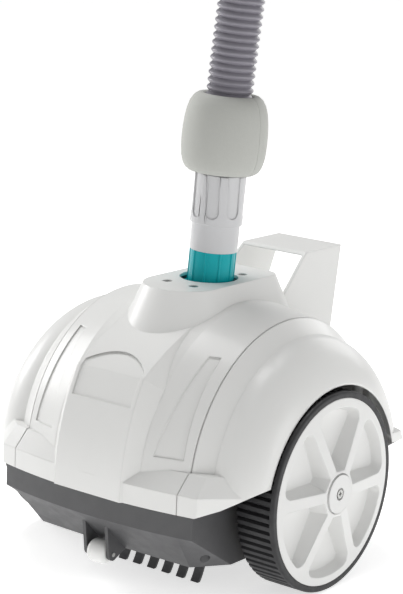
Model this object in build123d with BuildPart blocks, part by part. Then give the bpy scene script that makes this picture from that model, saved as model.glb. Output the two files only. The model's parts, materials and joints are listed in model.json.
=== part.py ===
from build123d import *
import math
import os

# A suction-driven pool cleaner: a ribbed white cover over a dark chassis, two driving wheels,
# a turbine with a gear train to each wheel, and a swivelling outlet with its floating hose.
# X runs across the machine, Y from its front (-) to its rear (+), Z up from the pool floor.
# Lengths are in millimetres.

# Overall layout
FRONT_REACH = 150.0
REAR_REACH = 170.0
HALF_WIDTH = 162.8
AXLE_Y = (FRONT_REACH - REAR_REACH) / 2
WALL = 3.0
PLAY = 0.05
GAP = 0.4

# Wheels
TYRE_R = 90.0
TYRE_WIDTH = 39.0
TYRE_GROOVES = 75
GROOVE_DEPTH = 3.0
RIM_R = 84.1
RIM_WALL = 4.0
RIM_STEP = 7.4
DISH = 6.2
WEB = 3.2
SPOKES = 6
SPOKE_PHASE = -3.0
POCKET_DEPTH = 9.0
POCKET_INNER_R = 23.0
POCKET_OUTER_R = 76.0
POCKET_HALF_ANGLE = 25.5
POCKET_WALL = 2.0
POCKET_DRAFT = 22.0
POCKET_SHRINK = 3.6
HUB_CAP_R = 17.8
HUB_CAP_THICK = 4.0
STUB_R = 8.0
BUSH_WALL = 1.7
HUB_WALL = 5.0

# Gears: the turbine pinion drives a compound gear, and that drives the ring inside the wheel
PRESSURE_ANGLE = math.radians(25)
PINION_TEETH = 12
LARGE_TEETH = 42
RING_TEETH = 60
FIRST_MODULE = 1.0
SECOND_MODULE = 1.75
TOOTH_PLAY = 0.12
GEAR_WIDTH = 6.0
RING_WIDTH = 9.0
GEAR_PIN_R = 2.5
SHAFT_R = 3.0

# Covers
BODY_OFFSET = 10.0
BODY_Z = 97.5
PART_Z = 88.6
SEAM_X = 92.1
SEAM_R = 135.0
RIDGE_R = 143.0
BAND_HALF = 37.0
BAND_SLOPE = 13.0
BAND_REAR = 150.0
SKIRT_HEIGHT = 17.7
SKIRT_EDGE = 15.0
SKIRT_SET_BACK = 0.8
SKIRT_BOW = 12.0
SKIRT_CORNER_X = 110.4
SEAM_GAP = 0.8
RIDGE_X = 50.0
RIDGE_FORWARD = 5.0
VALLEY_X = 109.0
VALLEY_R = 124.5
SKIRT_LEDGE_Z = 33.0
SKIRT_TIP_FRONT = 95.5
SKIRT_TIP_REAR = 120.0
PANEL_DEPTH = 1.2
FIELD_HALF = 33.0
FIELD_TOP = 196.0
FIELD_FOOT = 168.0
FIELD_ARCH = 9.0
ARCH_X = 151.0
ARCH_R = 99.2
BOSS_R = 5.5
BOSS_X = 70.0
SIDE_BOSS_X = 98.0
BOSS_FRONT_Y = -116.0
BOSS_REAR_Y = 108.0

# Turret and handle
TURRET_Y = -3.5
TURRET_Z = 255.4
TURRET_HALF_WIDTH = 36.5
TURRET_LENGTH = 135.0
TURRET_DRAFT = 24.0
TURRET_REAR_ROUND = 14.0
TURRET_ROOT_Z = 205.0
OUTLET_Y = 2.0
OUTLET_HOLE_R = 26.5
HANDLE_Z = 269.6
HANDLE_HALF = 36.9
HANDLE_SPLAY = 8.0
HANDLE_THICK = 3.2
HANDLE_DEPTH = 58.0
HANDLE_TANG = 8.0

# Chassis
CHASSIS_BAND = 20.0
FLOOR_Z = 32.0
CHASSIS_INSET = 2.5
CHEEK_OUTER_X = 106.5
CHEEK_R = 92.0
LIP = 8.0
FLOOR_FRONT = 110.0
FLOOR_REAR = 125.0
THROAT_LENGTH = 50.0
THROAT_WIDTH = 110.0
THROAT_Z = 14.0

# Front roller and debris comb
ROLLER_Y = AXLE_Y - 128.3
ROLLER_Z = 30.1
ROLLER_R = 10.6
ROLLER_WIDTH = 20.0
ROLLER_PIN_R = 2.0
EAR_THICK = 3.5
COMB_Y = AXLE_Y - 58.0
COMB_FINGERS = 8
COMB_PITCH = 16.7
FINGER_WIDTH = 9.0
FINGER_THICK = 3.5
FINGER_REACH = 9.0

# Turbine
TURBINE_Y = -27.5
TURBINE_Z = 128.0
ROTOR_R = 38.0
ROTOR_WIDTH = 52.0
ROTOR_BLADES = 8
BLADE_THICK = 2.5
CASE_PLAY = 3.0
DUCT_R = 26.0
DUCT_TOP_Z = 214.0

# Outlet swivel, connector, float and hose: heights run along the leaning outlet axis
PIVOT_Z = 232.0
LEAN = 3.4
LEAN_HEADING = 38.0
BALL_R = 27.6
RING_HALF = 9.0
TUBE_R = 20.4
TUBE_WALL = 2.4
TUBE_RIBS = 10
RIB_HEIGHT = 0.9
FLANGE_R = 25.2
FLANGE_H = 14.0
COLLAR_H = 49.0
COLLAR_R = 21.75
GRIP_H = 74.0
GRIP_R = 23.75
GRIP_TOP_H = 119.0
GRIP_FLUTES = 8
FLUTE_WIDTH = 12.0
FLUTE_DEPTH = 1.3
FLUTE_FOOT = 7.5
NIPPLE_H = 150.0
FLOAT_R = 38.5
FLOAT_LENGTH = 70.5
FLOAT_ROUND = 16.0
HOSE_R = 21.0
HOSE_WALL = 3.0
HOSE_RUNS = [54.0, 56.0, 58.0, 56.0, 52.0]
HOSE_TURNS = [1.1, 0.8, 0.9, 0.7]
CUFF_LENGTH = 46.0
CUFF_BORE_R = 19.0
CUFF_SOCKET = 14.0
CUFF_WALL = 3.0

# Fasteners
SCREW_R = 2.0
SCREW_HEAD_R = 4.0
SCREW_HEAD = 2.6
SCREW_BITE = 14.0

# Worked-out places
AXLE_Z = TYRE_R
BODY_Y = AXLE_Y + BODY_OFFSET
BAND_FRONT = FRONT_REACH + BODY_OFFSET
RIM_FACE_X = HALF_WIDTH - RIM_STEP
RIM_INNER_X = RIM_FACE_X - TYRE_WIDTH + 1.1
STUB_END_X = HALF_WIDTH - HUB_CAP_THICK
HUB_FACE_X = STUB_END_X - 0.2
BUSH_INNER_R = STUB_R + PLAY
BUSH_OUTER_R = BUSH_INNER_R + BUSH_WALL
HUB_R = BUSH_OUTER_R + HUB_WALL
CHEEK_INNER_X = CHEEK_OUTER_X - WALL
FIRST_CENTRES = FIRST_MODULE * (PINION_TEETH + LARGE_TEETH) / 2
SECOND_CENTRES = SECOND_MODULE * (RING_TEETH - PINION_TEETH) / 2
GEAR_BAY_X = CHEEK_OUTER_X + 1.5
RING_X = GEAR_BAY_X + GEAR_WIDTH + 8.0
RING_R = SECOND_MODULE * RING_TEETH / 2
CHASSIS_TOP_Z = PART_Z - 0.6
CHASSIS_FRONT = BAND_FRONT - CHASSIS_INSET
CHASSIS_REAR = BAND_REAR - CHASSIS_INSET
BAND_BOTTOM_Z = CHASSIS_TOP_Z - CHASSIS_BAND
CASE_R = ROTOR_R + CASE_PLAY
CASE_HALF = ROTOR_WIDTH / 2 + CASE_PLAY
HANDLE_REAR = AXLE_Y + REAR_REACH
HANDLE_FRONT = HANDLE_REAR - HANDLE_DEPTH

os.makedirs("parts", exist_ok=True)


def save(piece, label):
    """Label a finished piece and write its STEP file."""
    piece.part.label = label
    export_step(piece.part, "parts/" + label + ".step")


def rod_x(x_from, x_to, y, z, radius, mode=Mode.ADD):
    """A cylinder along X, in the piece being built."""
    with Locations(((x_from + x_to) / 2, y, z)):
        Cylinder(radius, abs(x_to - x_from), rotation=(0, 90, 0), mode=mode)


def rod_z(x, y, z_from, z_to, radius, mode=Mode.ADD):
    """A cylinder along Z, in the piece being built."""
    with Locations((x, y, (z_from + z_to) / 2)):
        Cylinder(radius, abs(z_to - z_from), mode=mode)


def block(x_from, x_to, y_from, y_to, z_from, z_to, mode=Mode.ADD):
    """A box between two corners, in the piece being built."""
    middle = ((x_from + x_to) / 2, (y_from + y_to) / 2, (z_from + z_to) / 2)
    with Locations(middle):
        Box(abs(x_to - x_from), abs(y_to - y_from), abs(z_to - z_from), mode=mode)


def mirrored(piece):
    """The same piece for the other side of the machine."""
    with BuildPart() as other:
        add(piece.part.mirror(Plane.YZ))
    return other


def screw_group(places, length, cross=False):
    """Pan-head screws: each head's top lies on its plane and the shank goes down from it."""
    with BuildPart() as screws:
        for place in places:
            with BuildSketch(place):
                Circle(SCREW_HEAD_R)
            extrude(amount=-SCREW_HEAD)
            with BuildSketch(place.offset(-SCREW_HEAD)):
                Circle(SCREW_R)
            extrude(amount=SCREW_HEAD - length)
            if cross:
                with BuildSketch(place):
                    Rectangle(4.4, 1.1)
                    Rectangle(1.1, 4.4)
                extrude(amount=-1.5, mode=Mode.SUBTRACT)
    return screws


# Gear teeth ---------------------------------------------------------------------------

def involute(angle):
    return math.tan(angle) - angle


def tooth_points(teeth, module, addendum, dedendum, play, first_angle):
    """Outline of a spur gear about the origin; play thins every tooth at the pitch circle."""
    pitch_r = module * teeth / 2
    base_r = pitch_r * math.cos(PRESSURE_ANGLE)
    root_r = pitch_r - dedendum
    flank_r = max(base_r, root_r)
    radii = [flank_r + (pitch_r + addendum - flank_r) * step / 3 for step in range(4)]
    middle = math.pi / (2 * teeth) - play / (2 * pitch_r) + involute(PRESSURE_ANGLE)
    flank = [(r, middle - involute(math.acos(base_r / r))) for r in radii]
    if root_r < flank_r:
        flank.insert(0, (root_r, flank[0][1]))
    points = []
    for tooth in range(teeth):
        centre = first_angle + 2 * math.pi * tooth / teeth
        points += [(r, centre - half) for r, half in flank]
        points += [(r, centre + half) for r, half in reversed(flank)]
    return [(r * math.cos(a), r * math.sin(a)) for r, a in points]


def moved(points, y, z):
    return [(u + y, v + z) for u, v in points]


# The compound gear's pin stands where both centre distances meet, on the front side.
turbine_angle = math.atan2(TURBINE_Z - AXLE_Z, TURBINE_Y - AXLE_Y)
turbine_distance = math.hypot(TURBINE_Z - AXLE_Z, TURBINE_Y - AXLE_Y)
opening = math.acos(
    (SECOND_CENTRES ** 2 + turbine_distance ** 2 - FIRST_CENTRES ** 2)
    / (2 * SECOND_CENTRES * turbine_distance)
)
ring_line = turbine_angle + opening
GEAR_Y = AXLE_Y + SECOND_CENTRES * math.cos(ring_line)
GEAR_Z = AXLE_Z + SECOND_CENTRES * math.sin(ring_line)
pinion_line = math.atan2(GEAR_Z - TURBINE_Z, GEAR_Y - TURBINE_Y)

pinion_points = moved(
    tooth_points(PINION_TEETH, FIRST_MODULE, FIRST_MODULE, 1.25 * FIRST_MODULE,
                 TOOTH_PLAY, pinion_line),
    TURBINE_Y, TURBINE_Z)
large_points = moved(
    tooth_points(LARGE_TEETH, FIRST_MODULE, FIRST_MODULE, 1.25 * FIRST_MODULE,
                 TOOTH_PLAY, pinion_line + math.pi + math.pi / LARGE_TEETH),
    GEAR_Y, GEAR_Z)
small_points = moved(
    tooth_points(PINION_TEETH, SECOND_MODULE, 0.9 * SECOND_MODULE, 1.25 * SECOND_MODULE,
                 TOOTH_PLAY, ring_line),
    GEAR_Y, GEAR_Z)
ring_points = moved(
    tooth_points(RING_TEETH, SECOND_MODULE, 1.2 * SECOND_MODULE, 0.8 * SECOND_MODULE,
                 -TOOTH_PLAY, ring_line),
    AXLE_Y, AXLE_Z)


# Covers ---------------------------------------------------------------------------------

def band_corners(inset):
    """Corners of the raised band's side view: front foot, front knee, crown, rear knee, foot."""
    front = BODY_Y - BAND_FRONT + inset
    rear = BODY_Y + BAND_REAR - inset
    foot_z = PART_Z - 2 * inset
    return {
        "front_foot": (front, foot_z),
        "front_bulge": (front + 6, BODY_Z + 39),
        "front_knee": (front + 28 - inset * 0.2, BODY_Z + 95 - inset * 0.7),
        "front_brow": (front + 74, BODY_Z + 122 - inset),
        "crown": (BODY_Y, BODY_Z + 144 - inset),
        "rear_brow": (rear - 66, BODY_Z + 122 - inset),
        "rear_knee": (rear - 25 + inset * 0.2, BODY_Z + 90 - inset * 0.7),
        "rear_bulge": (rear - 6, BODY_Z + 37),
        "rear_foot": (rear, foot_z),
    }


def cover_body(inset):
    """The cover without its skirt, shrunk all round by the inset."""
    with BuildPart() as body:
        rod_x(-RIDGE_X, RIDGE_X, BODY_Y - RIDGE_FORWARD, BODY_Z, RIDGE_R - inset)
        for side in (-1, 1):
            with BuildSketch(Plane.YZ.offset(side * RIDGE_X)):
                with Locations((BODY_Y - RIDGE_FORWARD, BODY_Z)):
                    Circle(RIDGE_R - inset)
            with BuildSketch(Plane.YZ.offset(side * SEAM_X)):
                with Locations((BODY_Y, BODY_Z)):
                    Circle(SEAM_R - inset)
            loft()
        half = BAND_HALF - inset
        for side in (-1, 1):
            for step in (0, 1):
                corner = band_corners(inset + step * BAND_SLOPE)
                with BuildSketch(Plane.YZ.offset(side * (half + step * BAND_SLOPE))):
                    with BuildLine():
                        ThreePointArc(corner["front_foot"], corner["front_bulge"],
                                      corner["front_knee"])
                        ThreePointArc(corner["front_knee"], corner["front_brow"],
                                      corner["crown"])
                        ThreePointArc(corner["crown"], corner["rear_brow"],
                                      corner["rear_knee"])
                        ThreePointArc(corner["rear_knee"], corner["rear_bulge"],
                                      corner["rear_foot"])
                        Line(corner["rear_foot"], corner["front_foot"])
                    make_face()
            loft(ruled=True)
        corner = band_corners(inset)
        with BuildSketch(Plane.YZ):
            with BuildLine():
                ThreePointArc(corner["front_foot"], corner["front_bulge"], corner["front_knee"])
                ThreePointArc(corner["front_knee"], corner["front_brow"], corner["crown"])
                ThreePointArc(corner["crown"], corner["rear_brow"], corner["rear_knee"])
                ThreePointArc(corner["rear_knee"], corner["rear_bulge"], corner["rear_foot"])
                Line(corner["rear_foot"], corner["front_foot"])
            make_face()
        extrude(amount=half, both=True)
        turret_height = TURRET_Z - TURRET_ROOT_Z
        half_width = TURRET_HALF_WIDTH - inset
        turret_back = TURRET_Y + TURRET_LENGTH / 2 - inset
        nose_y = TURRET_Y - TURRET_LENGTH / 2 + TURRET_HALF_WIDTH
        with BuildSketch(Plane.XY.offset(TURRET_Z - inset)) as plate:
            with BuildLine():
                ThreePointArc((-half_width, nose_y), (0, nose_y - half_width), (half_width, nose_y))
                Polyline((half_width, nose_y), (half_width, turret_back),
                         (-half_width, turret_back), (-half_width, nose_y))
            make_face()
            fillet(plate.vertices().group_by(Axis.Y)[-1], radius=TURRET_REAR_ROUND)
        extrude(amount=-turret_height, taper=-TURRET_DRAFT)
        block(-200, 200, -300, 300, -100, PART_Z - 2 * inset, mode=Mode.SUBTRACT)
    return body


def front_line(x, reach):
    """Y of the bowed front edge at a distance x from the middle."""
    return BODY_Y - reach + SKIRT_BOW * (x / SKIRT_CORNER_X) ** 2


def rear_line(x, reach):
    """Y of the bowed rear edge at a distance x from the middle."""
    return BODY_Y + reach - SKIRT_BOW * (x / SKIRT_CORNER_X) ** 2


def skirt(inset):
    """The flared foot of the cover: straight sides, then a slope back to the dome."""
    front = BAND_FRONT - SKIRT_SET_BACK - inset
    rear = BAND_REAR - SKIRT_SET_BACK - inset
    half = SKIRT_CORNER_X + 8 - inset
    with BuildPart() as foot:
        with BuildSketch(Plane.XY.offset(PART_Z - 2 * inset)):
            with BuildLine():
                ThreePointArc((-half, front_line(half, front)), (0, BODY_Y - front),
                              (half, front_line(half, front)))
                Line((half, front_line(half, front)), (half, rear_line(half, rear)))
                ThreePointArc((half, rear_line(half, rear)), (0, BODY_Y + rear),
                              (-half, rear_line(half, rear)))
                Line((-half, rear_line(half, rear)), (-half, front_line(half, front)))
            make_face()
        extrude(amount=SKIRT_HEIGHT + 1.5 * inset)
        extrude(foot.faces().sort_by(Axis.Z)[-1], amount=SKIRT_EDGE, taper=45)
    return foot


def handle_blank(grow):
    """The carrying handle before it is trimmed to the cover: an arch with two raked legs."""
    foot_z = TURRET_Z - 100
    with BuildPart() as blank:
        with BuildSketch(Plane.YZ):
            with BuildLine():
                Polyline(
                    (HANDLE_FRONT - grow, HANDLE_Z + grow),
                    (HANDLE_REAR + grow, HANDLE_Z + grow),
                    (HANDLE_REAR - 34.5 + grow, foot_z),
                    (HANDLE_FRONT - 64 - grow, foot_z + 50),
                    (HANDLE_FRONT - 37 - grow, HANDLE_Z - 33),
                    close=True,
                )
            make_face()
        extrude(amount=HANDLE_HALF + 3 * HANDLE_SPLAY, both=True)
        spread = HANDLE_SPLAY * (HANDLE_Z - foot_z) / 75
        with BuildSketch(Plane.XZ.offset(-300)):
            with BuildLine():
                Polyline(
                    (-HANDLE_HALF - spread - grow, foot_z),
                    (-HANDLE_HALF - grow, HANDLE_Z + grow),
                    (HANDLE_HALF + grow, HANDLE_Z + grow),
                    (HANDLE_HALF + spread + grow, foot_z),
                    close=True,
                )
            make_face()
            with BuildLine():
                Polyline(
                    (-HANDLE_HALF - spread + HANDLE_THICK + grow, foot_z),
                    (-HANDLE_HALF + HANDLE_THICK + grow, HANDLE_Z - HANDLE_THICK - grow),
                    (HANDLE_HALF - HANDLE_THICK - grow, HANDLE_Z - HANDLE_THICK - grow),
                    (HANDLE_HALF + spread - HANDLE_THICK - grow, foot_z),
                    close=True,
                )
            make_face(mode=Mode.SUBTRACT)
        extrude(amount=600, mode=Mode.INTERSECT)
    return blank


cover_outside = cover_body(0)
cover_inside = cover_body(WALL)
skirt_outside = skirt(0)
skirt_inside = skirt(WALL)
handle_outside = handle_blank(0)
handle_slot = handle_blank(0.2)

cover_core = cover_body(WALL / 2)
turret_screw_places = [(x, TURRET_Y + y) for x in (-15.1, 15.1) for y in (-35.9, 35.9)]
cover_boss_places = [(x, y) for x in (-BOSS_X, BOSS_X) for y in (BOSS_FRONT_Y, BOSS_REAR_Y)]
side_boss_places = [(SIDE_BOSS_X, y) for y in (BOSS_FRONT_Y, BOSS_REAR_Y)]

# Shallow sunk fields: one on the band's front and a tapering one on each shoulder
with BuildPart() as sunk_fields:
    with BuildSketch(Plane.XZ.offset(0)):
        with BuildLine():
            Polyline((FIELD_HALF, FIELD_TOP), (FIELD_HALF, FIELD_FOOT), (-FIELD_HALF, FIELD_FOOT),
                     (-FIELD_HALF, FIELD_TOP))
            ThreePointArc((-FIELD_HALF, FIELD_TOP), (0, FIELD_TOP + FIELD_ARCH),
                          (FIELD_HALF, FIELD_TOP))
        make_face()
    extrude(amount=BAND_FRONT + 10)
    for side in (-1, 1):
        with BuildSketch(Plane.XZ.offset(0)):
            Polygon((side * 58, BODY_Z + 33), (side * 84, BODY_Z + 33), (side * 80, BODY_Z + 112),
                    (side * 70, BODY_Z + 112), align=None)
        extrude(amount=BAND_FRONT + 10)
    add(cover_body(PANEL_DEPTH).part, mode=Mode.SUBTRACT)

with BuildPart() as cover_bosses:
    for x, y in cover_boss_places:
        rod_z(x, y, PART_Z + 2, PART_Z + 150, BOSS_R)
    add(cover_core.part, mode=Mode.INTERSECT)

with BuildPart() as centre_cover:
    add(cover_outside.part)
    add(skirt_outside.part)
    add(cover_inside.part, mode=Mode.SUBTRACT)
    add(skirt_inside.part, mode=Mode.SUBTRACT)
    add(sunk_fields.part, mode=Mode.SUBTRACT)
    trim = SEAM_X - SEAM_GAP / 2
    for side in (-1, 1):
        block(side * trim, side * 300, -300, 300, 0, 400, mode=Mode.SUBTRACT)
    add(cover_bosses.part)
    for x, y in cover_boss_places:
        rod_z(x, y, PART_Z, PART_Z + SCREW_BITE + 2, SCREW_R, mode=Mode.SUBTRACT)
    rod_z(0, OUTLET_Y, 200, 300, OUTLET_HOLE_R, mode=Mode.SUBTRACT)
    for x, y in turret_screw_places:
        rod_z(x, y, 200, 300, SCREW_HEAD_R + GAP, mode=Mode.SUBTRACT)
    add(handle_slot.part, mode=Mode.SUBTRACT)
save(centre_cover, "centre_cover")

with BuildPart() as carry_handle:
    add(handle_outside.part)
    add(cover_body(WALL + HANDLE_TANG).part, mode=Mode.SUBTRACT)
save(carry_handle, "carry_handle")


def dome(inset):
    """The side cover's dome: circles that shrink and sink from the seam out to the wheel arch."""
    valley = (VALLEY_X, VALLEY_R, BODY_Y - 0.5, BODY_Z - 1.5)
    seam_to_valley = ((SEAM_X, SEAM_R, BODY_Y, BODY_Z), valley)
    valley_to_arch = (
        valley,
        (VALLEY_X + 14, VALLEY_R - 0.5, BODY_Y - 1.8, BODY_Z - 4.0),
        (VALLEY_X + 30, VALLEY_R - 8.5, BODY_Y - 3.6, BODY_Z - 7.8),
        (ARCH_X, ARCH_R, AXLE_Y + 5.0, AXLE_Z - 3.5),
    )
    with BuildPart() as shape:
        for sections in (seam_to_valley, valley_to_arch):
            for x, radius, y, z in sections:
                with BuildSketch(Plane.YZ.offset(x)):
                    with Locations((y, z)):
                        Circle(radius - inset)
            loft()
    return shape


def side_skirt(inset):
    """The side cover's foot: upright from its lower edge, then a ledge that slopes in to the dome."""
    front = BAND_FRONT - SKIRT_SET_BACK - inset
    rear = BAND_REAR - SKIRT_SET_BACK - inset
    corner = SKIRT_CORNER_X - inset
    tip = ARCH_X - inset
    lower_z = PART_Z + SKIRT_HEIGHT - inset / 2
    lower = (
        (SEAM_X, front_line(SEAM_X, front)),
        (corner, front_line(corner, front)),
        (tip, AXLE_Y - SKIRT_TIP_FRONT + inset),
        (tip, AXLE_Y + SKIRT_TIP_REAR - inset),
        (corner, rear_line(corner, rear)),
        (SEAM_X, rear_line(SEAM_X, rear)),
    )
    upper = (
        (SEAM_X, front_line(SEAM_X, front) + SKIRT_EDGE),
        (corner - 2, front_line(corner, front) + SKIRT_EDGE),
        (tip, AXLE_Y - SKIRT_TIP_FRONT + inset + SKIRT_EDGE / 2),
        (tip, AXLE_Y + SKIRT_TIP_REAR - inset - SKIRT_EDGE / 2),
        (corner - 2, rear_line(corner, rear) - SKIRT_EDGE),
        (SEAM_X, rear_line(SEAM_X, rear) - SKIRT_EDGE),
    )
    with BuildPart() as foot:
        with BuildSketch(Plane.XY.offset(PART_Z - 2 * inset)):
            Polygon(*lower, align=None)
        extrude(amount=lower_z - PART_Z + 2 * inset)
        with BuildSketch(Plane.XY.offset(lower_z)):
            Polygon(*lower, align=None)
        with BuildSketch(Plane.XY.offset(PART_Z + SKIRT_LEDGE_Z - inset)):
            Polygon(*upper, align=None)
        loft(ruled=True)
    return foot


def below_lip():
    """What lies under the side cover's lower edge, which rises from the corner to the arch."""
    with BuildPart() as below:
        for way, tip_y in ((-1, AXLE_Y - 87.0), (1, AXLE_Y + 120.0)):
            with BuildSketch(Plane.XZ.offset(0)):
                with BuildLine():
                    Polyline(
                        (SKIRT_CORNER_X - 2, PART_Z - 20),
                        (SKIRT_CORNER_X - 2, PART_Z),
                        (SKIRT_CORNER_X + 14, PART_Z + 7),
                        (ARCH_X, PART_Z + 24),
                        (ARCH_X + 30, PART_Z + 30),
                        (ARCH_X + 30, PART_Z - 20),
                        close=True,
                    )
                make_face()
            extrude(amount=-way * 250)
    return below


with BuildPart() as side_bosses:
    for x, y in side_boss_places:
        rod_z(x, y, PART_Z + 2, PART_Z + 150, BOSS_R)
    add(dome(WALL / 2).part, mode=Mode.INTERSECT)

with BuildPart() as left_side_cover:
    add(dome(0).part)
    add(side_skirt(0).part)
    add(dome(WALL).part, mode=Mode.SUBTRACT)
    add(side_skirt(WALL).part, mode=Mode.SUBTRACT)
    add(side_bosses.part)
    for x, y in side_boss_places:
        rod_z(x, y, PART_Z, PART_Z + SCREW_BITE + 2, SCREW_R, mode=Mode.SUBTRACT)
    rod_x(CHEEK_OUTER_X, ARCH_X + 5, AXLE_Y + 5.0, AXLE_Z - 3.5, ARCH_R - 2.0, mode=Mode.SUBTRACT)
    add(below_lip().part, mode=Mode.SUBTRACT)
    block(0, 300, -300, 300, -50, PART_Z, mode=Mode.SUBTRACT)
    block(0, SEAM_X + SEAM_GAP / 2, -300, 300, 0, 300, mode=Mode.SUBTRACT)
save(left_side_cover, "left_side_cover")
right_side_cover = mirrored(left_side_cover)
save(right_side_cover, "right_side_cover")


# Chassis ----------------------------------------------------------------------------------

def chassis_corners(level, inset):
    """Corners of the chassis in plan, at the level of its upper band or of its floor."""
    half = CHEEK_OUTER_X - inset
    if level == "band":
        front = CHASSIS_FRONT - inset
        rear = CHASSIS_REAR - inset
        cut = SEAM_X - inset
        return {
            "front": (0, BODY_Y - front),
            "front_cut": (cut, front_line(cut, front)),
            "front_side": (half, front_line(half, front)),
            "rear_side": (half, rear_line(half, rear)),
            "rear_cut": (cut, rear_line(cut, rear)),
            "rear": (0, BODY_Y + rear),
        }
    cut = SEAM_X - 7 - inset
    front = AXLE_Y - FLOOR_FRONT + inset
    rear = BODY_Y + FLOOR_REAR - inset
    return {
        "front": (0, front - 2),
        "front_cut": (cut, front),
        "front_side": (half, front + 30),
        "rear_side": (half, rear - 30),
        "rear_cut": (cut, rear),
        "rear": (0, rear + 2),
    }


def chassis_block(inset, floor_z, top_z):
    """The chassis as a closed block: a straight band above a tub whose sides slope inwards."""
    with BuildPart() as tub:
        for level, z in (("band", BAND_BOTTOM_Z), ("floor", floor_z)):
            corner = chassis_corners(level, inset)
            flip = {name: (-x, y) for name, (x, y) in corner.items()}
            with BuildSketch(Plane.XY.offset(z)):
                with BuildLine():
                    ThreePointArc(flip["front_cut"], corner["front"], corner["front_cut"])
                    Line(corner["front_cut"], corner["front_side"])
                    Line(corner["front_side"], corner["rear_side"])
                    Line(corner["rear_side"], corner["rear_cut"])
                    ThreePointArc(corner["rear_cut"], corner["rear"], flip["rear_cut"])
                    Line(flip["rear_cut"], flip["rear_side"])
                    Line(flip["rear_side"], flip["front_side"])
                    Line(flip["front_side"], flip["front_cut"])
                make_face()
        loft(ruled=True)
        extrude(tub.faces().sort_by(Axis.Z)[-1], amount=top_z - BAND_BOTTOM_Z)
    return tub


GEAR_COVER_WALL = 2.0
GEAR_COVER_CLEAR = 1.5
large_space_r = FIRST_MODULE * (LARGE_TEETH / 2 + 1) + GEAR_COVER_CLEAR
pinion_space_r = FIRST_MODULE * (PINION_TEETH / 2 + 1) + GEAR_COVER_CLEAR
small_space_r = SECOND_MODULE * (PINION_TEETH / 2 + 0.9) + GAP
gear_cover_x = GEAR_BAY_X + GEAR_WIDTH + 1.0
lug_reach = large_space_r + GEAR_COVER_WALL + SCREW_HEAD_R
lug_places = [
    (GEAR_Y + lug_reach * math.cos(pinion_line + turn),
     GEAR_Z + lug_reach * math.sin(pinion_line + turn))
    for turn in (math.radians(40), math.radians(-110))
]

post_places = cover_boss_places + side_boss_places + [(-x, y) for x, y in side_boss_places]
screw_head_z = PART_Z + 2 - SCREW_BITE / 2
ear_inner = ROLLER_WIDTH / 2 + 1.0

with BuildPart() as screw_posts:
    for x, y in post_places:
        rod_z(x, y, FLOOR_Z, PART_Z + 2, BOSS_R + 1)
    add(chassis_block(0, FLOOR_Z, PART_Z + 2).part, mode=Mode.INTERSECT)

with BuildPart() as chassis:
    add(chassis_block(0, FLOOR_Z, CHASSIS_TOP_Z).part)
    add(chassis_block(WALL, FLOOR_Z + WALL, CHASSIS_TOP_Z + 1).part, mode=Mode.SUBTRACT)
    # Cheeks behind the wheels, with uprights that close the corners of the wheel arches
    for side in (-1, 1):
        rod_x(side * CHEEK_INNER_X, side * CHEEK_OUTER_X, AXLE_Y, AXLE_Z, CHEEK_R)
        for y_from, y_to in ((BODY_Y - 138, AXLE_Y - 60), (AXLE_Y + 60, BODY_Y + 128)):
            block(side * CHEEK_INNER_X, side * CHEEK_OUTER_X, y_from, y_to,
                  BAND_BOTTOM_Z, PART_Z + SKIRT_HEIGHT)
    block(-200, 200, -200, 200, -100, FLOOR_Z, mode=Mode.SUBTRACT)
    add(screw_posts.part)
    # Ears that carry the front roller
    for side in (-1, 1):
        with BuildSketch(Plane.YZ.offset(side * ear_inner)):
            with Locations((ROLLER_Y, ROLLER_Z)):
                Circle(ROLLER_PIN_R + 3.5)
            with BuildLine():
                Polyline(
                    (ROLLER_Y - 10, BAND_BOTTOM_Z - 1),
                    (ROLLER_Y + 24, FLOOR_Z + 4),
                    (ROLLER_Y + 12, BAND_BOTTOM_Z - 6),
                    close=True,
                )
            make_face()
            make_hull()
        extrude(amount=side * EAR_THICK)
    rod_x(-50, 50, ROLLER_Y, ROLLER_Z, ROLLER_PIN_R, mode=Mode.SUBTRACT)
    for x, y in post_places:
        rod_z(x, y, 0, screw_head_z, SCREW_HEAD_R + GAP, mode=Mode.SUBTRACT)
        rod_z(x, y, 0, PART_Z + 10, SCREW_R + 0.1, mode=Mode.SUBTRACT)
    block(-THROAT_WIDTH / 2, THROAT_WIDTH / 2, OUTLET_Y - THROAT_LENGTH / 2,
          OUTLET_Y + THROAT_LENGTH / 2, 0, FLOOR_Z + WALL + 1, mode=Mode.SUBTRACT)
    for side in (-1, 1):
        rod_x(side * 90, side * 120, AXLE_Y, AXLE_Z, STUB_R, mode=Mode.SUBTRACT)
        rod_x(side * 90, side * 120, GEAR_Y, GEAR_Z, GEAR_PIN_R, mode=Mode.SUBTRACT)
        rod_x(side * 90, side * 120, TURBINE_Y, TURBINE_Z, SHAFT_R + PLAY + 2, mode=Mode.SUBTRACT)
        for y, z in lug_places:
            rod_x(side * 90, side * 120, y, z, SCREW_R, mode=Mode.SUBTRACT)
save(chassis, "chassis")


# Chassis furniture --------------------------------------------------------------------------

floor_screw_places = [Plane((x, y, screw_head_z - SCREW_HEAD), z_dir=(0, 0, -1))
                      for x, y in post_places]
chassis_screws = screw_group([place.offset(SCREW_HEAD) for place in floor_screw_places],
                             SCREW_BITE + SCREW_BITE / 2)
save(chassis_screws, "chassis_screws")

with BuildPart() as front_roller:
    rod_x(-ROLLER_WIDTH / 2, ROLLER_WIDTH / 2, ROLLER_Y, ROLLER_Z, ROLLER_R)
    fillet(front_roller.edges().filter_by(GeomType.CIRCLE), radius=ROLLER_R * 0.55)
    rod_x(-ROLLER_WIDTH, ROLLER_WIDTH, ROLLER_Y, ROLLER_Z, ROLLER_PIN_R + PLAY,
          mode=Mode.SUBTRACT)
save(front_roller, "front_roller")

with BuildPart() as roller_pin:
    pin_end = ear_inner + EAR_THICK + 0.5
    rod_x(-pin_end, pin_end, ROLLER_Y, ROLLER_Z, ROLLER_PIN_R)
save(roller_pin, "roller_pin")

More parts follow.
